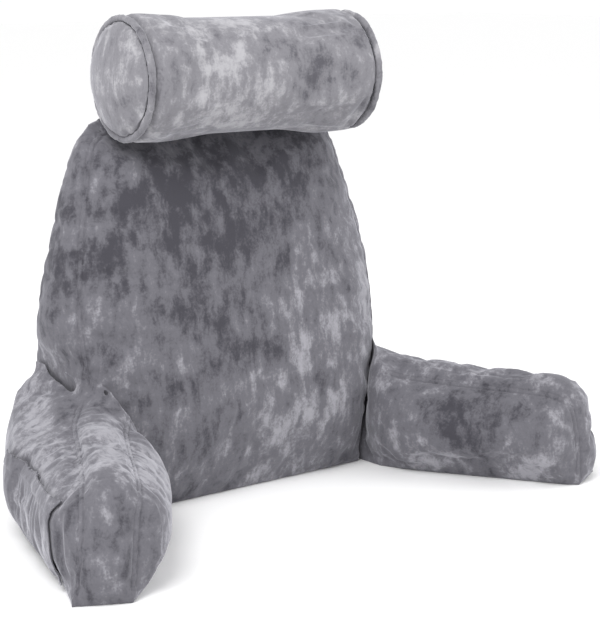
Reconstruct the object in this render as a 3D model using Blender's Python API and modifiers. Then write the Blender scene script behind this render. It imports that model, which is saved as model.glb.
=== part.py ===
"""Reading pillow with arms: a reclined back cushion, two splayed arms, a neck roll and a patch pocket.

Metres, +Z up.  The origin is the middle of the back cushion's underside.  -Y is the way the sitter
faces and the arms reach, +X is the right-hand side of the pillow as seen from the front, and the
whole pillow stands on Z = 0.

The back and the arms are boxes of cloth: a front and a rear panel joined by a strip, so each one is
a cube cut into a grid whose points are placed by a few measured sections.  The edges of the cube are
the sewn seams, and each face swells between its seams.
"""
import math

import bmesh
import bpy
from mathutils import Matrix, Vector

# ---- driving dimensions -------------------------------------------------------------------------
GAP = 0.0006                  # clearance between pieces that are sewn to each other
BASE_FRONT_Y = -0.075         # where the front panel meets the floor

TOP_CORNER_Z = 0.488          # height of the front panel's rounded top corners
TOP_RISE = 0.014              # the top seam is this much higher in the middle
FRONT_CROWN = 0.036           # how far the front panel swells out of its seams
REAR_CROWN = 0.030
BACK_GRID = (20, 7, 22)       # facets across, front to rear, and up the back cushion

ARM_SPLAY = math.radians(27.5)
ARM_ROOT_X = 0.207            # floor line of the arm's inner side, where it meets the back
ARM_GRID = (15, 6, 8)         # facets along, across and up an arm
ARM_ROOT_Z = 0.192            # height of the arm where it is sewn to the back's side

ROLL_CENTRE = (0.0, -0.069, 0.544)
ROLL_YAW = math.radians(-4.6)
ROLL_HALF = 0.167             # middle of the roll to the piping
ROLL_RADIUS = 0.0790
ROLL_STEPS = 40
CAP_DOME = 0.021
PIPING_RING = 0.0735          # radius of the piping's centre line
PIPING_RADIUS = 0.0042
ROLL_PRESS = 0.0030           # the top of the back stays this far off the roll

POCKET_THICKNESS = 0.0020
POCKET_ALONG = (3, 14)        # the arm's grid lines between which the pocket is sewn
POCKET_UP = (1, 6)            # and those of its lower and upper edge
POCKET_OFF = 0.0026           # the arm's side to the middle of the pocket's cloth

# Back cushion by height: half width between the seams, how far the front seam leans back, depth
# from the front seam to the rear one, swell of the sides
BACK_COLUMNS = ("height", "half_width", "lean", "depth", "side_swell")
BACK_SECTIONS = (
    (0.000, 0.207, 0.000, 0.150, 0.000),
    (0.060, 0.214, 0.000, 0.148, 0.000),
    (0.130, 0.227, 0.003, 0.140, 0.000),
    (0.195, 0.239, 0.010, 0.122, 0.000),
    (0.230, 0.239, 0.015, 0.111, 0.010),
    (0.280, 0.235, 0.023, 0.092, 0.015),
    (0.360, 0.219, 0.037, 0.068, 0.015),
    (0.420, 0.204, 0.048, 0.054, 0.012),
    (0.460, 0.192, 0.055, 0.046, 0.009),
    (0.488, 0.172, 0.060, 0.038, 0.004),
)

# Arm by its inner seam's place along it.  "along" runs from the back to the tip, "across" outwards.
ARM_COLUMNS = ("along_in", "along_out", "floor_in", "side_in", "top_in",
               "top_out", "side_out", "floor_out", "top_z", "crown")
ARM_SECTIONS = (
    (0.018, -0.088, -0.010, -0.022, -0.010, 0.096, 0.117, 0.096, 0.170, 0.010),
    (0.045, -0.040, -0.016, -0.045, -0.016, 0.086, 0.129, 0.103, 0.142, 0.016),
    (0.075, 0.030, -0.016, -0.058, -0.014, 0.070, 0.132, 0.102, 0.131, 0.019),
    (0.120, 0.100, -0.013, -0.057, -0.012, 0.060, 0.123, 0.092, 0.129, 0.020),
    (0.180, 0.170, -0.008, -0.049, -0.011, 0.058, 0.108, 0.084, 0.127, 0.020),
    (0.240, 0.235, -0.003, -0.043, -0.010, 0.058, 0.094, 0.078, 0.126, 0.020),
    (0.276, 0.274, -0.001, -0.036, -0.008, 0.060, 0.086, 0.076, 0.125, 0.018),
    (0.291, 0.290, 0.000, -0.029, -0.006, 0.061, 0.082, 0.075, 0.120, 0.016),
)
TIP_ALONG = 0.309             # the end seams where they stand upright
TIP_SWELL = 0.015             # how far the end strip swells beyond them
TIP_FLOOR = (0.003, 0.076)    # across, the end seams at the floor
TIP_CORNER = (0.301, 0.108)   # along and up, the rounded corner of the side panels

FABRIC = ("plush_velvet", (0.125, 0.123, 0.133, 1.0), 0.85)
FABRIC_LIGHT = ("plush_velvet_roll", (0.185, 0.183, 0.190, 1.0), 0.85)


# ---- small helpers ------------------------------------------------------------------------------
def mix(low, high, share):
    return low + (high - low) * share


def slope_at(rows, row, index):
    """Slope of a column at one of its rows, flat where the column turns, so nothing overshoots."""
    if row in (0, len(rows) - 1):
        return 0.0
    before, here, after = rows[row - 1:row + 2]
    rise = (here[index] - before[index]) / (here[0] - before[0])
    fall = (after[index] - here[index]) / (after[0] - here[0])
    if rise * fall <= 0.0:
        return 0.0
    return 2.0 * rise * fall / (rise + fall)


def table_at(rows, columns, key, name):
    """A column of a table at a value of its first column, on a smooth curve through the rows."""
    index = columns.index(name)
    key = min(max(key, rows[0][0]), rows[-1][0])
    row = max(number for number in range(len(rows) - 1) if key >= rows[number][0])
    lower, upper = rows[row], rows[row + 1]
    span = upper[0] - lower[0]
    share = (key - lower[0]) / span
    bend = share * share * (3.0 - 2.0 * share)
    start = slope_at(rows, row, index) * span * share * (1.0 - share) ** 2
    end = slope_at(rows, row + 1, index) * span * share * share * (share - 1.0)
    return mix(lower[index], upper[index], bend) + start + end


def swell(share, power=2.2, sharp=0.6):
    """How far a filled panel stands out, from 0 at both seams (share -1 and 1) to 1 in the middle."""
    return max(0.0, 1.0 - abs(share) ** power) ** sharp


def material(spec):
    name, colour, roughness = spec
    found = bpy.data.materials.get(name)
    if found is None:
        found = bpy.data.materials.new(name)
        found.use_nodes = True
        shader = found.node_tree.nodes["Principled BSDF"]
        shader.inputs["Base Color"].default_value = colour
        shader.inputs["Roughness"].default_value = roughness
        shader.inputs["Metallic"].default_value = 0.0
    return found


def put_in(obj, collection, spec):
    for old in list(obj.users_collection):
        old.objects.unlink(obj)
    collection.objects.link(obj)
    obj.data.materials.clear()
    obj.data.materials.append(material(spec))


def cut_cube(name, counts, place):
    """A cube cut into a grid of counts, each point moved to place(a, b, c) with a, b, c from 0 to 1."""
    mesh = bpy.data.meshes.new(name)
    cage = bmesh.new()
    bmesh.ops.create_cube(cage, size=1.0, matrix=Matrix.Translation((0.5, 0.5, 0.5)))
    for axis, count in enumerate(counts):
        normal = Vector((0.0, 0.0, 0.0))
        normal[axis] = 1.0
        for step in range(1, count):
            bmesh.ops.bisect_plane(cage, geom=cage.verts[:] + cage.edges[:] + cage.faces[:],
                                   plane_co=normal * (step / count), plane_no=normal)
    for vert in cage.verts:
        vert.co = Vector(place(*vert.co))
    bmesh.ops.recalc_face_normals(cage, faces=cage.faces[:])
    bmesh.ops.triangulate(cage, faces=cage.faces[:])
    cage.to_mesh(mesh)
    cage.free()
    mesh.shade_smooth()
    return bpy.data.objects.new(name, mesh)


# ---- back cushion -------------------------------------------------------------------------------
def back_at(height, name):
    return table_at(BACK_SECTIONS, BACK_COLUMNS, height, name)


def front_seam_y(height):
    return BASE_FRONT_Y + back_at(height, "lean")


def roll_axis_at(x):
    """Centre of the neck roll in the plane across the pillow at x."""
    return ROLL_CENTRE[1] + math.tan(ROLL_YAW) * (x - ROLL_CENTRE[0]), ROLL_CENTRE[2]


def clear_of_roll(x, y, z):
    """The roll's weight presses the top of the back away, straight out of the roll's cylinder."""
    centre_y, centre_z = roll_axis_at(x)
    reach = ROLL_RADIUS + PIPING_RADIUS + ROLL_PRESS
    away_y, away_z = y - centre_y, z - centre_z
    distance = math.hypot(away_y, away_z)
    if distance >= reach or away_y < -0.02:
        return x, y, z
    away_y = max(away_y, 0.004)
    distance = math.hypot(away_y, away_z)
    return x, centre_y + away_y * reach / distance, centre_z + away_z * reach / distance


def back_place(a, b, c):
    """Point of the back cushion: a from side to side, b from front to rear, c from floor to top."""
    across = 2.0 * a - 1.0
    height = TOP_CORNER_Z * c
    half = back_at(height, "half_width")
    depth = back_at(height, "depth")
    z = height + TOP_RISE * (1.0 - across ** 4) * c ** 3
    x = across * half
    y = front_seam_y(height) + depth * b
    rise = min(1.0, c / 0.22) ** 0.55 * swell(max(0.0, 2.0 * c - 1.0), 3.0, 0.55)
    if b == 0.0:
        y -= FRONT_CROWN * swell(across, 3.0, 0.55) * rise
    if b == 1.0:
        y += REAR_CROWN * swell(across) * rise
    if a in (0.0, 1.0):
        x += math.copysign(back_at(height, "side_swell"), across) * swell(2.0 * b - 1.0)
    if c == 1.0:
        z += 0.012 * swell(2.0 * b - 1.0) * swell(across, 4.0)
    if c > 0.0:
        x, y, z = clear_of_roll(x, y, z)
    return x, y, z


# ---- arms ---------------------------------------------------------------------------------------
def arm_at(along, name):
    return table_at(ARM_SECTIONS, ARM_COLUMNS, along, name)


def arm_to_world(along, across, z):
    """From an arm's own directions to the pillow's, for the arm on the +X side."""
    x = ARM_ROOT_X + along * math.sin(ARM_SPLAY) + across * math.cos(ARM_SPLAY)
    y = BASE_FRONT_Y - along * math.cos(ARM_SPLAY) + across * math.sin(ARM_SPLAY)
    return x, y, z


def arm_root_place(t, c):
    """The end of the arm that is sewn flat against the side of the back cushion."""
    z = ARM_ROOT_Z * c
    depth = back_at(z, "depth")
    x = back_at(z, "half_width") + GAP
    y = front_seam_y(z) + mix(0.004, depth - 0.006, t)
    return x, y, z


def arm_tip_line(c):
    """Along and up, the end seam from the floor (c = 0) to the rounded corner (c = 1)."""
    corner_along, corner_z = TIP_CORNER
    z = corner_z * c
    return mix(TIP_ALONG, corner_along, c ** 3), z


def arm_section_place(along_in, t, c):
    """Point of the arm's section whose inner top edge stands at along_in."""
    along = mix(along_in, arm_at(along_in, "along_out"), t)
    low = mix(arm_at(along_in, "floor_in"), arm_at(along_in, "floor_out"), t)
    high = mix(arm_at(along_in, "top_in"), arm_at(along_in, "top_out"), t)
    across = mix(low, high, c)
    z = arm_at(along_in, "top_z") * c
    if t == 0.0:
        side = swell(2.0 * c ** 1.15 - 1.0, 2.4, 0.62)
        across = mix(across, arm_at(along_in, "side_in"), side)
    if t == 1.0:
        side = swell(2.0 * c ** 1.45 - 1.0, 2.4, 0.62)
        across = mix(across, arm_at(along_in, "side_out"), side)
    if c == 1.0:
        z += arm_at(along_in, "crown") * swell(2.0 * t - 1.0)
    return along, across, z


def arm_tip_place(t, c):
    """Point of the end of the arm, which is one strip with the arm's top and swells less."""
    along, z = arm_tip_line(c)
    last = ARM_SECTIONS[-1][0]
    low = mix(*TIP_FLOOR, t)
    high = mix(arm_at(last, "top_in") + 0.003, arm_at(last, "top_out") - 0.003, t)
    bulge = TIP_SWELL * swell(2.0 * t - 1.0)
    if c == 1.0:
        z += 0.60 * bulge
    along += bulge * mix(swell(1.0 - 1.9 * c, 2.0, 0.6), 0.45, c ** 2)
    return along, mix(low, high, c), z


def arm_place(s, t, c):
    """Point of the +X arm: s from the back to the tip, t inner to outer, c from floor to top."""
    if s == 0.0:
        return arm_root_place(t, c)
    if s == 1.0:
        return arm_to_world(*arm_tip_place(t, c))
    step = 1.0 / ARM_GRID[0]
    share = (s - step) / (1.0 - 2.0 * step)
    along_in = mix(ARM_SECTIONS[0][0], ARM_SECTIONS[-1][0], share)
    return arm_to_world(*arm_section_place(along_in, t, c))


def mirrored(place, side):
    def placed(s, t, c):
        x, y, z = place(s, t, c)
        return side * x, y, z
    return placed


# ---- pocket -------------------------------------------------------------------------------------
def pocket(side):
    """A patch of cloth sewn on the outer side of an arm, following it at a small clearance."""
    start, end = POCKET_ALONG
    bottom, top = POCKET_UP
    cage = bmesh.new()
    bmesh.ops.create_grid(cage, x_segments=end - start, y_segments=top - bottom, size=0.5)
    place = mirrored(arm_place, side)
    for vert in cage.verts:
        along = mix(start, end, vert.co.x + 0.5) / ARM_GRID[0]
        up = mix(bottom, top, vert.co.y + 0.5) / ARM_GRID[2]
        ahead, behind = (Vector(place(along + step, 1.0, up)) for step in (0.03, -0.03))
        above, below = (Vector(place(along, 1.0, up + step)) for step in (0.06, -0.06))
        outward = side * (above - below).cross(ahead - behind).normalized()
        vert.co = Vector(place(along, 1.0, up)) + outward * POCKET_OFF
    bmesh.ops.recalc_face_normals(cage, faces=cage.faces[:])
    mesh = bpy.data.meshes.new("pocket_left")
    cage.to_mesh(mesh)
    cage.free()
    obj = bpy.data.objects.new("pocket_left", mesh)
    wall = obj.modifiers.new("cloth", "SOLIDIFY")
    wall.thickness = POCKET_THICKNESS
    wall.offset = 0.0
    wall.use_even_offset = True
    return obj


# ---- neck roll ----------------------------------------------------------------------------------
def roll_profile():
    """Half outline of the roll as (radius, place on the axis), from its top pole to its lower one."""
    groove = PIPING_RADIUS + 0.0010
    outline = [(0.0, ROLL_HALF + CAP_DOME)]
    for step in range(1, 6):
        angle = math.radians(16.0 * step)
        outline.append((0.069 * math.sin(angle), ROLL_HALF + 0.004 + (CAP_DOME - 0.004) * math.cos(angle)))
    for step in range(7):
        angle = math.radians(30.0 * step)
        outline.append((PIPING_RING - groove * math.sin(angle), ROLL_HALF + groove * math.cos(angle)))
    barrel = [(ROLL_RADIUS - 0.0012, ROLL_HALF - 0.014), (ROLL_RADIUS, ROLL_HALF * 0.60)]
    upper = outline + barrel + [(ROLL_RADIUS, 0.0)]
    return upper + [(radius, -place) for radius, place in reversed(upper[:-1])]


def neck_roll():
    mesh = bpy.data.meshes.new("neck_roll")
    outline = roll_profile()
    edges = [(index, index + 1) for index in range(len(outline) - 1)]
    mesh.from_pydata([(radius, 0.0, place) for radius, place in outline], edges, [])
    roll = bpy.data.objects.new("neck_roll", mesh)
    turn = roll.modifiers.new("turn", "SCREW")
    turn.angle = 2.0 * math.pi
    turn.steps = ROLL_STEPS
    turn.render_steps = ROLL_STEPS
    turn.use_merge_vertices = True
    turn.merge_threshold = 0.0001
    return roll


def piping(name, end):
    """The corded edge sewn between the barrel and one end cap."""
    data = bpy.data.curves.new(name, "CURVE")
    data.dimensions = "3D"
    data.bevel_depth = PIPING_RADIUS
    data.bevel_resolution = 2
    spline = data.splines.new("POLY")
    spline.points.add(ROLL_STEPS - 1)
    for step, point in enumerate(spline.points):
        angle = 2.0 * math.pi * step / ROLL_STEPS
        point.co = (PIPING_RING * math.cos(angle), PIPING_RING * math.sin(angle), end * ROLL_HALF, 1.0)
    spline.use_cyclic_u = True
    return bpy.data.objects.new(name, data)


def lay_on_back(obj):
    """Lays a piece that was made upright along the roll's own axis, at the top of the back."""
    obj.rotation_euler = (0.0, math.pi / 2.0, ROLL_YAW)
    obj.location = ROLL_CENTRE


# ---- the whole pillow ---------------------------------------------------------------------------
def main():
    for old in list(bpy.data.objects):
        bpy.data.objects.remove(old, do_unlink=True)
    pillow = bpy.data.collections.new("reading_pillow")
    bpy.context.scene.collection.children.link(pillow)

    put_in(cut_cube("back_cushion", BACK_GRID, back_place), pillow, FABRIC)
    for name, side in (("arm_left", -1.0), ("arm_right", 1.0)):
        put_in(cut_cube(name, ARM_GRID, mirrored(arm_place, side)), pillow, FABRIC)
    put_in(pocket(-1.0), pillow, FABRIC)

    roll_pieces = (neck_roll(), piping("piping_left", -1.0), piping("piping_right", 1.0))
    for piece in roll_pieces:
        put_in(piece, pillow, FABRIC_LIGHT)
        lay_on_back(piece)


main()
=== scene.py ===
# %% [markdown]
# # A reading pillow with arms
#
# The pillow is made of four filled bags of plush velvet: a reclined back, two splayed arms and a
# neck roll with corded ends that lies on the back's top edge.  One arm carries a patch pocket.
# The model is built the way the real one is: the bags are filled first, then the seams are drawn
# in, then the cloth that is too long for its seam puckers, and last the pile is brushed; on the back
# this last step also paints shade under the neck roll and sheen.
#
# The first step loads the plain solids that set every size and place.  Their box is kept, so that
# the finished pillow can be compared with it.

# %% Load the plain solids
import math

import bmesh
import bpy
import numpy as np
from mathutils import Matrix, Vector, noise
from mathutils.bvhtree import BVHTree


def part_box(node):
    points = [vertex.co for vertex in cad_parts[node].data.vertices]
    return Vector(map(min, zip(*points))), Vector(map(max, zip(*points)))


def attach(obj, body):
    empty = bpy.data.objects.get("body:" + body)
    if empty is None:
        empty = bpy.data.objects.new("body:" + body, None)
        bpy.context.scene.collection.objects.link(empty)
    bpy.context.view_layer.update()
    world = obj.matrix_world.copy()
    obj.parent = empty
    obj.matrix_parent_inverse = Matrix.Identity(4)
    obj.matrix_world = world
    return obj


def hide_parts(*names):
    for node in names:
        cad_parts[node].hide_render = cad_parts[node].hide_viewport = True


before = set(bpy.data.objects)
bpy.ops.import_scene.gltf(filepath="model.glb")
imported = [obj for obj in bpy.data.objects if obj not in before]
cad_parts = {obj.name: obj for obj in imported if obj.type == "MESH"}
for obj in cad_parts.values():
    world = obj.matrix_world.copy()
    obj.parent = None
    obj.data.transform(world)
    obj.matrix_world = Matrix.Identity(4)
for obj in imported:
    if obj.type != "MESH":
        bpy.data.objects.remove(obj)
scene = bpy.context.scene
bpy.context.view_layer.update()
print("plain solids:", ", ".join(sorted(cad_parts)))

# %% [markdown]
# ## Camera
#
# The camera stands a little above the seat and has a long lens, so that the pillow's sides stay
# nearly parallel.  It looks along one arm, which shows its end and the inside of the other one.
# It is placed by an azimuth, an elevation and a distance from the point it looks at, because
# those are the numbers that someone who wants another view would change.

# %% Place the camera
AZIMUTH = math.radians(-38.82)
ELEVATION = math.radians(11.22)
DISTANCE = 2.390
LENS = 103.1
LOOK_AT = Vector((0.0949, -0.075, 0.2243))

outwards = Vector((math.sin(AZIMUTH) * math.cos(ELEVATION),
                   -math.cos(AZIMUTH) * math.cos(ELEVATION),
                   math.sin(ELEVATION)))
bpy.ops.object.select_all(action="DESELECT")
bpy.ops.object.camera_add(location=LOOK_AT + outwards * DISTANCE)
camera = bpy.context.object
camera.name = "camera"
camera.data.lens = LENS
camera.rotation_euler = outwards.to_track_quat("Z", "Y").to_euler()
scene.camera = camera
print("camera at", [round(value, 3) for value in camera.location])

# %% [markdown]
# ## Reading and writing a mesh as arrays
#
# Seams and puckers move tens of thousands of points by a rule, so the points are read into one
# array, changed all at once, and written back.

# %% Points and normals as arrays
def read_points(piece):
    points = np.empty(len(piece.data.vertices) * 3)
    piece.data.vertices.foreach_get("co", points)
    return points.reshape(-1, 3)


def write_points(piece, points):
    piece.data.vertices.foreach_set("co", points.ravel())
    piece.data.update()


def read_normals(piece):
    normals = np.empty(len(piece.data.vertices) * 3)
    piece.data.vertex_normals.foreach_get("vector", normals)
    return normals.reshape(-1, 3)


def finish_modifier(piece, modifier):
    bpy.ops.object.select_all(action="DESELECT")
    bpy.context.view_layer.objects.active = piece
    piece.select_set(True)
    bpy.ops.object.modifier_apply(modifier=modifier.name)


# %% [markdown]
# ## Cutting a bag out of its plain solid
#
# Each bag starts as a copy of its plain solid, whose triangles are welded and then remeshed into
# small even squares, because cloth folds evenly only when its threads are even.  The bag is cut a
# little small, since the filling will swell it again.

# %% Copy and remesh a plain solid
FLOOR_BAND = 0.004          # points this low lie on the floor and stay there


def cut_bag(node, name, voxel, take_in):
    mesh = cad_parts[node].data.copy()
    piece = bpy.data.objects.new(name, mesh)
    scene.collection.objects.link(piece)
    cage = bmesh.new()
    cage.from_mesh(mesh)
    bmesh.ops.remove_doubles(cage, verts=cage.verts[:], dist=0.00002)
    cage.to_mesh(mesh)
    cage.free()
    remesh = piece.modifiers.new("even squares", "REMESH")
    remesh.mode = "VOXEL"
    remesh.voxel_size = voxel
    finish_modifier(piece, remesh)
    points = read_points(piece)
    lifted = np.clip(points[:, 2:] / 0.02, 0.0, 1.0)
    write_points(piece, points - read_normals(piece) * take_in * lifted)
    print(name, len(points), "points")
    return piece


# %% [markdown]
# ## Lines on the cloth
#
# A seam is a line that lies on the cloth.  It is given by a few points, a smooth curve is laid
# through them, and the curve is pressed onto the bag.  Then every point of the bag can be told
# how far along the line it is and how far to its side, and that is all that a groove, a ridge or
# a pucker needs.

# %% Lay a line on a bag and measure from it
LINE_STEP = 0.0025
CURVE_CUTS = 24             # points tried between two corners of a line
SOFTEN_ROUNDS = 6           # how often a line's normals are averaged with their neighbours


def smooth_line(corners):
    """Points every LINE_STEP along a smooth curve through the corners."""
    corners = [Vector(corner) for corner in corners]
    ends = [corners[0] * 2 - corners[1]] + corners + [corners[-1] * 2 - corners[-2]]
    dense = []
    for before, start, end, after in zip(ends, ends[1:], ends[2:], ends[3:]):
        for share in np.linspace(0.0, 1.0, CURVE_CUTS, endpoint=False):
            dense.append(0.5 * (2 * start + (end - before) * share
                                + (2 * before - 5 * start + 4 * end - after) * share ** 2
                                + (3 * start - before - 3 * end + after) * share ** 3))
    dense.append(corners[-1])
    dense = np.array(dense)
    run = np.concatenate([[0.0], np.cumsum(np.linalg.norm(np.diff(dense, axis=0), axis=1))])
    stops = np.linspace(0.0, run[-1], max(3, int(run[-1] / LINE_STEP)))
    return np.stack([np.interp(stops, run, dense[:, axis]) for axis in range(3)], axis=1)


def unit(vectors):
    return vectors / np.maximum(np.linalg.norm(vectors, axis=-1, keepdims=True), 1e-9)


def lay_line(piece, corners):
    """A line pressed onto a piece: its places, its directions along and across, and its run."""
    surface = BVHTree.FromObject(piece, bpy.context.evaluated_depsgraph_get())
    places, normals = [], []
    for point in smooth_line(corners):
        place, normal, _, _ = surface.find_nearest(Vector(point))
        places.append(place)
        normals.append(normal)
    places = np.array(places)
    soft = np.array(normals)
    for _ in range(SOFTEN_ROUNDS):
        soft[1:-1] = unit(soft[:-2] + 2 * soft[1:-1] + soft[2:])
    along = unit(np.gradient(places, axis=0))
    steps = np.linalg.norm(np.diff(places, axis=0), axis=1)
    return {"place": places, "along": along, "across": unit(np.cross(along, soft)),
            "normal": soft, "run": np.concatenate([[0.0], np.cumsum(steps)])}


def measure(line, points, reach):
    """Which points are within reach of a line, how far along it, how far across it."""
    low = line["place"].min(axis=0) - reach
    high = line["place"].max(axis=0) + reach
    picked = np.flatnonzero(np.all((points > low) & (points < high), axis=1))
    nearest = np.empty(len(picked), dtype=int)
    for start in range(0, len(picked), 3000):
        part = points[picked[start:start + 3000]]
        gaps = ((part[:, None, :] - line["place"][None, :, :]) ** 2).sum(axis=2)
        nearest[start:start + 3000] = gaps.argmin(axis=1)
    offset = points[picked] - line["place"][nearest]
    close = np.linalg.norm(offset, axis=1) < reach
    picked, nearest, offset = picked[close], nearest[close], offset[close]
    along = line["run"][nearest] + (offset * line["along"][nearest]).sum(axis=1)
    across = (offset * line["across"][nearest]).sum(axis=1)
    return picked, along, across


# %% [markdown]
# ## Filling a bag
#
# Shredded foam presses outwards everywhere and the seams hold back.  A cloth simulation does the
# same: the bag gets an inside pressure, the seams and the floor face are pinned, and the cloth is
# cut a few hundredths too large, so that it has to ripple where a seam is too short for it.
# Gravity is off, because the filling carries the cloth.  The movement is capped, so that a panel
# can't balloon, and one subdivision smooths the result.

# %% Fill a bag with a cloth simulation
def pin_weights(piece, lines, hold, sewn_flat):
    """1 where the cloth can't move: the floor, a face sewn flat to its neighbour, and the seams."""
    points = read_points(piece)
    weights = np.where(points[:, 2] < FLOOR_BAND, 1.0, 0.0)
    weights = np.maximum(weights, sewn_flat(points))
    for line in lines:
        picked, _, across = measure(line, points, hold)
        weights[picked] = np.maximum(weights[picked], 1.0 - 0.5 * np.abs(across) / hold)
    return weights


FILL_FRAMES = 20


def fill_bag(piece, weights, pressure, slack, cap):
    start = read_points(piece)
    group = piece.vertex_groups.new(name="sewn")
    for index, weight in enumerate(weights):
        if weight > 0.01:
            group.add([index], float(weight), "REPLACE")
    cloth = piece.modifiers.new("filling", "CLOTH")
    settings = cloth.settings
    settings.quality = 5
    settings.mass = 0.30
    settings.tension_stiffness = 20.0
    settings.compression_stiffness = 20.0
    settings.shear_stiffness = 8.0
    settings.bending_stiffness = 0.6
    settings.use_pressure = True
    settings.uniform_pressure_force = pressure
    settings.shrink_min = -slack
    settings.effector_weights.gravity = 0.0
    settings.vertex_group_mass = "sewn"
    cloth.collision_settings.use_collision = False
    cloth.point_cache.frame_start = 1
    cloth.point_cache.frame_end = FILL_FRAMES
    for number in range(1, FILL_FRAMES + 1):
        scene.frame_set(number)
    finish_modifier(piece, cloth)
    scene.frame_set(1)
    moved = read_points(piece) - start
    distance = np.linalg.norm(moved, axis=1, keepdims=True)
    moved *= np.minimum(1.0, cap / np.maximum(distance, 1e-9))
    write_points(piece, start + moved)
    piece.vertex_groups.clear()
    print(piece.name, "swelled by up to", round(float(distance.max()) * 1000, 1), "mm")


def subdivide_once(piece):
    finer = piece.modifiers.new("finer", "SUBSURF")
    finer.levels = 1
    finer.render_levels = 1
    finish_modifier(piece, finer)


def refine_near(piece, lines, reach):
    """Splits the squares that lie near the seams, where the cloth has its smallest forms."""
    points = read_points(piece)
    near = np.zeros(len(points), dtype=bool)
    for line in lines:
        near[measure(line, points, reach)[0]] = True
    cage = bmesh.new()
    cage.from_mesh(piece.data)
    cage.verts.ensure_lookup_table()
    split = [edge for edge in cage.edges
             if near[edge.verts[0].index] and near[edge.verts[1].index]]
    bmesh.ops.subdivide_edges(cage, edges=split, cuts=1, use_grid_fill=True)
    cage.to_mesh(piece.data)
    cage.free()


# %% [markdown]
# ## Seams, puckers and creases
#
# The panels are joined by a lapped seam: both edges are turned under and stitched down, which
# leaves a raised band with a line of stitches along each side of it.  The band is 4 mm wide.
# A pucker is a short trough with a low ridge on either side, nearly square to the seam.  No two
# of them are alike, so their places and sizes come from a seeded random generator.

# %% Functions that shape the cloth along a line
BAND_HALF = 0.0022


def trough(distance, width):
    """A smooth valley of depth 1 with a low lip on both sides."""
    share = (distance / width) ** 2
    return (share * 0.9 - 1.0) * np.exp(-share)


def fade_ends(line, along, length):
    total = line["run"][-1]
    inside = np.minimum(along, total - along) / length
    return np.clip(inside, 0.0, 1.0)


def sew_band(piece, corners, height=0.0010, drawn_in=0.0016):
    """Draws the cloth in along a seam and raises the seam's own band."""
    line = lay_line(piece, corners)
    points, normals = read_points(piece), read_normals(piece)
    picked, along, across = measure(line, points, 0.030)
    side = np.abs(across)
    shape = -drawn_in * np.exp(-(across / 0.0085) ** 2)
    band = np.clip((BAND_HALF + 0.0006 - side) / 0.0010, 0.0, 1.0)
    band = band * band * (3.0 - 2.0 * band)
    shape += height * band
    shape -= 0.0010 * np.exp(-((side - BAND_HALF - 0.0012) / 0.0011) ** 2)
    shape -= 0.0004 * np.exp(-(across / 0.0007) ** 2)
    shape *= fade_ends(line, along, 0.012)
    points[picked] += normals[picked] * shape[:, None]
    write_points(piece, points)
    return line


def pucker(piece, line, seed, spacing, reach, depth):
    """Short gathers that start at a seam, on either side of it."""
    dice = np.random.default_rng(seed)
    points, normals = read_points(piece), read_normals(piece)
    picked, along, across = measure(line, points, reach * 1.05)
    shape = np.zeros(len(picked))
    total = line["run"][-1]
    place = dice.uniform(0.3, 1.0) * spacing
    while place < total:
        width = dice.uniform(0.0022, 0.0042)
        slant = dice.normal(0.0, 0.22)
        length = reach * dice.uniform(0.4, 1.0)
        deep = depth * dice.uniform(0.35, 1.0)
        away = across * dice.choice((-1, 1))
        share = np.clip(away / length, 0.0, 1.0)
        opens = np.clip((away - 0.0015) / 0.0035, 0.0, 1.0) * (1.0 - share) ** 1.5
        widen = width * (1.0 + 1.6 * share)
        shape += deep * opens * trough(along - place - slant * away, widen)
        place += spacing * dice.uniform(0.45, 1.6)
    points[picked] += normals[picked] * (shape * fade_ends(line, along, 0.02))[:, None]
    write_points(piece, points)


# %% [markdown]
# ## Brushed pile, painted shade and painted sheen
#
# Plush velvet is dark where its pile points at the eye and pale where it lies away, and every
# hand that strokes it leaves a patch.  Each piece therefore carries a value for its patches: 0 is
# the cloth's own grey, -1 a dark patch and +1 a pale one.  Broad patches are listed, with ragged
# edges, and the material adds the small mottling itself.  On the back, the dark patches high up
# are partly nap and partly painted shade under the neck roll, and the pale ones on the right and
# at the bottom are partly nap and partly painted sheen.

# %% Store the nap, painted shade and painted sheen of a piece
def store(piece, name, values):
    layer = piece.data.attributes.get(name) or piece.data.attributes.new(name, "FLOAT", "POINT")
    layer.data.foreach_set("value", np.asarray(values, dtype=np.float32))


def ragged(points, size, seed):
    """Smooth noise from -1 to 1 whose patches are about size across."""
    shift = Vector((seed * 3.7, seed * -1.9, seed * 2.3))
    return np.array([noise.fractal(Vector(point) / size + shift, 0.6, 2.1, 4)
                     for point in points])


def paint_patches(piece, seed, base, patches):
    """patches: rows of (x, y, z, radius, value), each a soft ragged spot of nap on the piece; on the
    back some spots also carry painted shade and painted sheen.
    """
    points = read_points(piece)
    wobble = ragged(points, 0.05, seed)
    nap_shade_and_sheen = base + 0.16 * ragged(points, 0.11, seed + 11)
    for x, y, z, radius, value in patches:
        reach = np.linalg.norm(points - np.array((x, y, z)), axis=1) / radius
        spot = np.clip(1.25 - reach + 0.35 * wobble, 0.0, 1.0)
        nap_shade_and_sheen += value * spot * spot * (3.0 - 2.0 * spot)
    store(piece, "nap_shade_and_sheen", nap_shade_and_sheen)


# %% [markdown]
# ## The velvet
#
# Plush velvet is a knitted polyester ground with a cut pile about 2 mm long.  The pile hides the
# ground, so the surface is dull (roughness 0.9), and its upright fibres catch light at grazing
# angles, which the shader calls sheen.  Polyester has an IOR of about 1.57, but a pile shows no
# gloss of its own, so the specular level is low.  The pile itself is bump: fibre tips 1.2 mm
# apart are drawn a little coarser than real ones, so that they still show.

# %% Materials
def linear(colour_code):
    """An sRGB hex colour as the linear numbers that shaders use."""
    parts = [int(colour_code[start:start + 2], 16) / 255.0 for start in (1, 3, 5)]
    return [part / 12.92 if part <= 0.04045 else ((part + 0.055) / 1.055) ** 2.4
            for part in parts] + [1.0]


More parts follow.
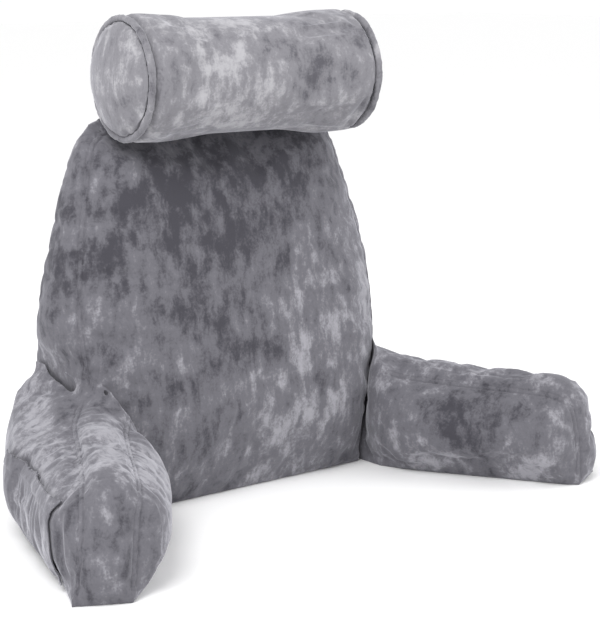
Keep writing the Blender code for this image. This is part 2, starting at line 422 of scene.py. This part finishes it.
def add(tree, kind, settings=None, links=None):
    """One node with its settings; a link is (input, (node, output))."""
    node = tree.nodes.new(kind)
    for key, value in (settings or {}).items():
        if isinstance(key, str) and hasattr(node, key):
            setattr(node, key, value)
        else:
            node.inputs[key].default_value = value
    for key, (source, output) in (links or {}).items():
        tree.links.new(source.outputs[output], node.inputs[key])
    return node


def velvet(name, dark, middle, pale, contrast):
    """Plush velvet between three greys."""
    material = bpy.data.materials.new(name)
    material.use_nodes = True
    tree = material.node_tree
    tree.nodes.clear()
    place = add(tree, "ShaderNodeTexCoord")
    nap_shade_and_sheen = add(tree, "ShaderNodeAttribute", {"attribute_name": "nap_shade_and_sheen"})

    # finger-wide mottling, warped so that its patches have ragged, brushed edges
    warp = add(tree, "ShaderNodeTexNoise", {"Scale": 1.0 / 0.030, "Detail": 3.0},
               {"Vector": (place, "Object")})
    shifted = add(tree, "ShaderNodeVectorMath", {"operation": "MULTIPLY_ADD", 1: (0.016,) * 3},
                  {0: (warp, "Color"), 2: (place, "Object")})
    mottle = add(tree, "ShaderNodeTexNoise",
                 {"Scale": 1.0 / 0.040, "Detail": 5.0, "Roughness": 0.62},
                 {"Vector": (shifted, 0)})
    # strokes run down the cloth, five times longer than wide
    stretched = add(tree, "ShaderNodeMapping", {"Scale": (1.0, 1.0, 0.28)}, {"Vector": (shifted, 0)})
    stroke = add(tree, "ShaderNodeTexNoise",
                 {"Scale": 1.0 / 0.013, "Detail": 4.0, "Roughness": 0.6}, {"Vector": (stretched, 0)})
    grain = add(tree, "ShaderNodeTexNoise",
                {"Scale": 1.0 / 0.0030, "Detail": 2.0, "Roughness": 0.7}, {"Vector": (place, "Object")})

    # tone = 0.5 + half the stored nap with its painted shade and sheen + the three patterns, each
    # centred on nothing
    tone = add(tree, "ShaderNodeMath", {"operation": "MULTIPLY_ADD", 1: 0.5, 2: 0.5}, {0: (nap_shade_and_sheen, "Fac")})
    for source, weight in ((mottle, contrast), (stroke, 0.8 * contrast), (grain, 0.34)):
        centred = add(tree, "ShaderNodeMath", {"operation": "SUBTRACT", 1: 0.5}, {0: (source, "Fac")})
        tone = add(tree, "ShaderNodeMath", {"operation": "MULTIPLY_ADD", 1: weight},
                   {0: (centred, 0), 2: (tone, 0)})
    ramp = add(tree, "ShaderNodeValToRGB", None, {"Fac": (tone, 0)})
    ramp.color_ramp.interpolation = "EASE"
    ramp.color_ramp.elements[0].position = 0.12
    ramp.color_ramp.elements[0].color = linear(dark)
    ramp.color_ramp.elements[1].position = 0.88
    ramp.color_ramp.elements[1].color = linear(pale)
    ramp.color_ramp.elements.new(0.5).color = linear(middle)

    # the pile: tufts over fibre tips
    tufts = add(tree, "ShaderNodeTexNoise", {"Scale": 1.0 / 0.006, "Detail": 3.0, "Roughness": 0.65},
                {"Vector": (place, "Object")})
    tips = add(tree, "ShaderNodeTexNoise", {"Scale": 1.0 / 0.0012, "Detail": 1.0},
               {"Vector": (place, "Object")})
    pile = add(tree, "ShaderNodeMath", {"operation": "MULTIPLY_ADD", 1: 0.35},
               {0: (tips, "Fac"), 2: (tufts, "Fac")})
    bump = add(tree, "ShaderNodeBump", {"Strength": 0.35, "Distance": 0.0012}, {"Height": (pile, 0)})
    shader = add(tree, "ShaderNodeBsdfPrincipled",
                 {"Roughness": 0.9, "IOR": 1.5, "Specular IOR Level": 0.12, "Sheen Weight": 0.55,
                  "Sheen Roughness": 0.38, "Sheen Tint": linear("#e6e6ee")},
                 {"Base Color": (ramp, "Color"), "Normal": (bump, "Normal")})
    add(tree, "ShaderNodeOutputMaterial", None, {"Surface": (shader, "BSDF")})
    return material


cushion_velvet = velvet("plush velvet, grey", "#424147", "#66656b", "#97969c", 1.15)
# The neck roll and its pipings use the same velvet with paler greys.
roll_velvet = velvet("plush velvet, grey, paler", "#545359", "#7b7a7f", "#a4a3a7", 1.15)


def dress(piece, material):
    piece.data.materials.clear()
    piece.data.materials.append(material)
    piece.data.shade_smooth()
    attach(piece, "root")


# %% [markdown]
# ## The back cushion
#
# Two panels and a gusset.  The front panel leans back and is widest where the arms begin.  Its
# seam is known by its half width and its distance from front to rear at a few heights.  The rear
# seam has the same outline, further back.

# %% Back cushion: seam lines
_, back_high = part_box("back_cushion")
FRONT_FLOOR_Y = -0.075

# height, half width, front seam and rear seam behind the front floor line
BACK_SEAMS = (
    (0.006, 0.2075, 0.000, 0.150),
    (0.060, 0.214, 0.000, 0.148),
    (0.130, 0.227, 0.003, 0.143),
    (0.195, 0.239, 0.010, 0.132),
    (0.280, 0.235, 0.023, 0.115),
    (0.360, 0.219, 0.037, 0.105),
    (0.420, 0.204, 0.048, 0.102),
    (0.460, 0.192, 0.055, 0.101),
    (0.488, 0.172, 0.060, 0.098),
)
FRONT_SEAM, REAR_SEAM = 2, 3       # columns of the table above
TOP_SEAM_PLACES = (0.110, 0.0, -0.110)


def back_seam(depth_column):
    """The outline of one panel: up one side, over the top and down the other."""
    right = [(row[1], FRONT_FLOOR_Y + row[depth_column], row[0]) for row in BACK_SEAMS]
    left = [(-x, y, z) for x, y, z in reversed(right)]
    top_y = right[-1][1] + 0.012
    over = [(x, top_y, back_high.z - 0.014) for x in TOP_SEAM_PLACES]
    return right + over + left


# %% Back cushion: cut, fill and sew
def beside_arm(points):
    """The sides below the arms' top are sewn flat to the arms."""
    low = points[:, 2] < 0.19
    side = np.abs(points[:, 0]) > 0.9 * np.interp(points[:, 2], [row[0] for row in BACK_SEAMS],
                                                  [row[1] for row in BACK_SEAMS])
    behind = points[:, 1] > FRONT_FLOOR_Y + 0.012
    return np.where(low & side & behind, 1.0, 0.0)


back = cut_bag("back_cushion", "back_cushion_velvet", 0.0065, 0.003)
back_lines = [lay_line(back, back_seam(column)) for column in (FRONT_SEAM, REAR_SEAM)]
back_pins = pin_weights(back, back_lines, 0.007, beside_arm)
fill_bag(back, back_pins, pressure=4.0, slack=0.03, cap=0.008)
subdivide_once(back)
front_line = lay_line(back, back_seam(FRONT_SEAM))
refine_near(back, [front_line], 0.014)
front_line = sew_band(back, back_seam(FRONT_SEAM))
rear_line = sew_band(back, back_seam(REAR_SEAM), height=0.0004)
pucker(back, front_line, 5, 0.030, 0.030, 0.0016)
pucker(back, rear_line, 6, 0.035, 0.030, 0.0014)
# The dark spots high on the front panel are painted shade under the neck roll, partly nap; the pale
# spots on the right and at the bottom are painted sheen, partly nap.
paint_patches(back, 2, -0.05, (
    (0.0, -0.08, 0.45, 0.22, -0.45),
    (-0.10, -0.10, 0.30, 0.14, -0.20),
    (0.16, -0.08, 0.25, 0.16, 0.30),
    (0.05, -0.10, 0.03, 0.12, 0.25),
    (-0.24, 0.00, 0.30, 0.09, -0.35),
))
dress(back, cushion_velvet)
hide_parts("back_cushion")
print("back:", len(back.data.polygons), "faces")

# %% [markdown]
# ## The arms
#
# Each arm is a bag with a strip over its top and down its end, and a swelling side on either side
# of the strip.  Places on an arm are given as the distance along it, across it and up, and turned
# into the pillow's own directions.

# %% Arms: directions and seam lines
ARM_SPLAY = math.radians(27.5)
ARM_ROOT_X = 0.207


def on_arm(side, along, across, z):
    x = ARM_ROOT_X + along * math.sin(ARM_SPLAY) + across * math.cos(ARM_SPLAY)
    y = FRONT_FLOOR_Y - along * math.cos(ARM_SPLAY) + across * math.sin(ARM_SPLAY)
    return side * x, y, z


# along, across and up: the strip's two seams, from the back to the floor under the end
INNER_SEAM = ((0.028, -0.022, 0.141), (0.050, -0.018, 0.134), (0.080, -0.013, 0.130),
              (0.150, -0.011, 0.128), (0.220, -0.010, 0.127), (0.268, -0.009, 0.125),
              (0.296, -0.006, 0.112), (0.307, -0.003, 0.088), (0.310, 0.000, 0.050),
              (0.311, 0.003, 0.006))
OUTER_SEAM = ((0.014, 0.040, 0.168), (0.035, 0.045, 0.155), (0.080, 0.053, 0.140),
              (0.150, 0.056, 0.135), (0.220, 0.058, 0.130), (0.268, 0.060, 0.126),
              (0.296, 0.062, 0.112), (0.307, 0.066, 0.088), (0.310, 0.071, 0.050),
              (0.311, 0.075, 0.006))


def arm_line(side, corners):
    return [on_arm(side, *corner) for corner in corners]


def beside_back(points):
    """The root of an arm is sewn flat against the back's side."""
    half = np.interp(points[:, 2], [row[0] for row in BACK_SEAMS], [row[1] for row in BACK_SEAMS])
    close = np.abs(np.abs(points[:, 0]) - half) < 0.004
    return np.where(close & (points[:, 1] > FRONT_FLOOR_Y + 0.006), 1.0, 0.0)


# %% Arms: cut, fill and sew
ROOT_REACH = 0.020          # how near to the back an arm's edge is rounded over


def round_root(arm):
    """Rounds the arm's edge where it meets the back, so that the two bags look pressed together."""
    surface = BVHTree.FromObject(back, bpy.context.evaluated_depsgraph_get())
    cage = bmesh.new()
    cage.from_mesh(arm.data)
    near = [vertex for vertex in cage.verts if vertex.co.z > 0.09
            and surface.find_nearest(vertex.co, ROOT_REACH)[0] is not None]
    for _ in range(14):
        bmesh.ops.smooth_vert(cage, verts=near, factor=0.5, use_axis_x=True, use_axis_y=True,
                              use_axis_z=True)
    cage.to_mesh(arm.data)
    cage.free()


def make_arm(node, side, seed):
    arm = cut_bag(node, node + "_velvet", 0.0050, 0.003)
    seams = [arm_line(side, INNER_SEAM), arm_line(side, OUTER_SEAM)]
    lines = [lay_line(arm, seam) for seam in seams]
    pins = pin_weights(arm, lines, 0.006, beside_back)
    fill_bag(arm, pins, pressure=4.0, slack=0.04, cap=0.008)
    round_root(arm)
    subdivide_once(arm)
    lines = [lay_line(arm, seam) for seam in seams]
    refine_near(arm, lines, 0.012)
    lines = [sew_band(arm, seam) for seam in seams]
    for number, line in enumerate(lines):
        pucker(arm, line, seed + number, 0.018, 0.034, 0.0009)
    return arm


arm_left = make_arm("arm_left", -1.0, 20)
arm_right = make_arm("arm_right", 1.0, 30)
paint_patches(arm_left, 4, 0.22, (
    (*on_arm(-1.0, 0.02, 0.02, 0.16), 0.055, -0.40),
    (*on_arm(-1.0, 0.30, 0.035, 0.06), 0.075, -0.45),
    (*on_arm(-1.0, 0.20, -0.04, 0.06), 0.090, 0.30),
    (*on_arm(-1.0, 0.14, 0.02, 0.13), 0.060, 0.25),
))
paint_patches(arm_right, 5, 0.05, (
    (*on_arm(1.0, 0.16, -0.05, 0.09), 0.085, -0.45),
    (*on_arm(1.0, 0.12, -0.05, 0.01), 0.060, 0.50),
    (*on_arm(1.0, 0.24, -0.05, 0.01), 0.060, 0.45),
    (*on_arm(1.0, 0.14, 0.03, 0.13), 0.070, 0.25),
))
for arm, node in ((arm_left, "arm_left"), (arm_right, "arm_right")):
    dress(arm, cushion_velvet)
    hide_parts(node)
    print(node, len(arm.data.polygons), "faces")

# %% [markdown]
# ## The pocket
#
# A patch of the same velvet, longer than the place that it is sewn to, so that it gathers into
# upright folds under its hem.  Its hem is turned over and stitched, and the mouth stands a little
# open.  It could be cut from the arm's own mesh, but a grid laid on the arm from outside follows
# the filled arm and gives the folds their own length.

# %% Pocket: lay a grid on the arm, gather it and give it a thickness
POCKET_FROM, POCKET_TO = 0.035, 0.262     # along the arm
POCKET_FLOOR, POCKET_MOUTH = 0.010, 0.104
POCKET_OFF = 0.0024                       # how far the cloth stands off the arm
POCKET_THICKNESS = 0.0016
HEM_DEPTH = 0.014
GATHERS = 9

bpy.ops.object.select_all(action="DESELECT")
bpy.ops.mesh.primitive_grid_add(x_subdivisions=170, y_subdivisions=70, size=1.0)
pocket = bpy.context.object
pocket.name = "pocket_left_velvet"
arm_surface = BVHTree.FromObject(arm_left, bpy.context.evaluated_depsgraph_get())
inwards = Vector(on_arm(-1.0, 0.0, 0.0, 0.0)) - Vector(on_arm(-1.0, 0.0, 1.0, 0.0))
for vertex in pocket.data.vertices:
    share_along, share_up = vertex.co.x + 0.5, vertex.co.y + 0.5
    along = POCKET_FROM + (POCKET_TO - POCKET_FROM) * share_along
    height = POCKET_FLOOR + (POCKET_MOUTH - POCKET_FLOOR) * share_up
    start = Vector(on_arm(-1.0, along, 0.20, height))
    place, normal, _, _ = arm_surface.ray_cast(start, inwards)
    below_hem = (POCKET_MOUTH - height - HEM_DEPTH) / 0.03
    gathered = min(1.0, max(0.0, below_hem * 2.0)) * min(1.0, share_up * 4.0)
    gathered *= min(1.0, share_along * 8.0, (1.0 - share_along) * 8.0)
    drift = 1.6 * noise.noise(Vector((share_along * 5.0, share_up * 0.8, 3.0)))
    fold = 0.5 + 0.5 * math.sin(2.0 * math.pi * (GATHERS * share_along + drift))
    depth = 0.0016 + 0.0020 * noise.noise(Vector((share_along * 11.0, share_up * 1.5, 9.0)))
    raised = 0.0007 if POCKET_MOUTH - height < HEM_DEPTH else 0.0
    mouth = 0.0014 * max(0.0, share_up * 4.0 - 3.0) * math.sin(math.pi * share_along)
    vertex.co = place + normal * (POCKET_OFF + gathered * fold * depth + raised + mouth)
thicken = pocket.modifiers.new("thickness", "SOLIDIFY")
thicken.thickness = POCKET_THICKNESS
thicken.offset = 1.0
finish_modifier(pocket, thicken)
bpy.ops.object.mode_set(mode="EDIT")
bpy.ops.mesh.select_all(action="SELECT")
bpy.ops.mesh.normals_make_consistent(inside=False)
bpy.ops.object.mode_set(mode="OBJECT")
paint_patches(pocket, 9, 0.10, ((*on_arm(-1.0, 0.06, 0.13, 0.09), 0.05, -0.35),))
dress(pocket, cushion_velvet)
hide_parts("pocket_left")
print("pocket:", len(pocket.data.polygons), "faces")

# %% [markdown]
# ## The neck roll
#
# A tube of velvet with a round cap gathered to each end over a cord.  The cord is stiff, so the
# longer cloth on both sides of it puckers all the way round.

# %% Neck roll: cut, fill and gather
ROLL_CENTRE = Vector((0.0, -0.069, 0.544))
ROLL_YAW = math.radians(-4.6)
ROLL_HALF = 0.167
PIPING_RING = 0.0735
roll_axis = Vector((math.cos(ROLL_YAW), math.sin(ROLL_YAW), 0.0))


def ring_line(end):
    """A circle round the roll at one end, closed by its own first point."""
    beside = Vector((-roll_axis.y, roll_axis.x, 0.0))
    centre = ROLL_CENTRE + roll_axis * end * ROLL_HALF
    return [centre + (beside * math.cos(turn) + Vector((0, 0, 1)) * math.sin(turn)) * PIPING_RING
            for turn in np.linspace(0.0, 2.0 * math.pi, 33)]


roll = cut_bag("neck_roll", "neck_roll_velvet", 0.0042, 0.0015)
roll_rings = [lay_line(roll, ring_line(end)) for end in (-1.0, 1.0)]
roll_pins = pin_weights(roll, roll_rings, 0.007, lambda points: np.zeros(len(points)))
fill_bag(roll, roll_pins, pressure=3.0, slack=0.03, cap=0.005)
subdivide_once(roll)
for number, end in enumerate((-1.0, 1.0)):
    ring = lay_line(roll, ring_line(end))
    pucker(roll, ring, 50 + number, 0.014, 0.026, 0.0013)
    pucker(roll, ring, 60 + number, 0.017, 0.020, 0.0010)
paint_patches(roll, 7, 0.12, (
    (-0.15, -0.14, 0.58, 0.045, -0.35),
    (0.03, -0.15, 0.57, 0.070, -0.40),
    (0.13, -0.14, 0.58, 0.050, -0.35),
    (-0.05, -0.15, 0.52, 0.080, 0.30),
))
dress(roll, roll_velvet)
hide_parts("neck_roll")
print("roll:", len(roll.data.polygons), "faces")


# %% Piping: a corded ring at each end
def piping(name, end, seed):
    bpy.ops.object.select_all(action="DESELECT")
    bpy.ops.mesh.primitive_torus_add(major_segments=220, minor_segments=14,
                                     major_radius=PIPING_RING, minor_radius=0.0044)
    ring = bpy.context.object
    ring.name = name
    turn = Matrix.Rotation(ROLL_YAW, 4, "Z") @ Matrix.Rotation(math.pi / 2.0, 4, "Y")
    ring.data.transform(Matrix.Translation(ROLL_CENTRE + roll_axis * end * ROLL_HALF) @ turn)
    points = read_points(ring)
    wave = ragged(points, 0.016, seed) * 0.0009 + ragged(points, 0.006, seed + 3) * 0.0003
    write_points(ring, points + read_normals(ring) * wave[:, None])
    return ring


for name, end, seed in (("piping_left", -1.0, 70), ("piping_right", 1.0, 80)):
    ring = piping(name + "_velvet", end, seed)
    paint_patches(ring, seed, 0.0, ())
    dress(ring, roll_velvet)
    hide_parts(name)

# %% [markdown]
# ## The floor and the light
#
# The pillow stands in a white studio.  A large soft light from the upper left gives form, a
# weaker one from the right fills the shadows, and a pale world makes the floor run into the
# background.

# %% Floor and lights
def flat_material(name, colour, roughness):
    material = bpy.data.materials.new(name)
    material.use_nodes = True
    shader = material.node_tree.nodes["Principled BSDF"]
    shader.inputs["Base Color"].default_value = linear(colour)
    shader.inputs["Roughness"].default_value = roughness
    return material


bpy.ops.object.select_all(action="DESELECT")
bpy.ops.mesh.primitive_plane_add(size=30.0, location=(0.0, 0.0, 0.0))
floor = bpy.context.object
floor.name = "studio_floor"
floor.data.materials.append(flat_material("white paper floor", "#fcfcfc", 0.95))


def soft_light(name, position, size, power):
    bpy.ops.object.light_add(type="AREA", location=position)
    lamp = bpy.context.object
    lamp.name = name
    lamp.data.size = size
    lamp.data.energy = power
    lamp.rotation_euler = (Vector(position) - LOOK_AT).to_track_quat("Z", "Y").to_euler()


soft_light("key", (-1.8, -1.2, 2.4), 1.6, 55.0)
soft_light("fill", (2.2, -1.6, 1.4), 1.8, 16.0)
world = bpy.data.worlds.new("studio")
world.use_nodes = True
world.node_tree.nodes["Background"].inputs["Color"].default_value = (1.0, 1.0, 1.0, 1.0)
world.node_tree.nodes["Background"].inputs["Strength"].default_value = 1.02
scene.world = world
scene.view_settings.view_transform = "Standard"
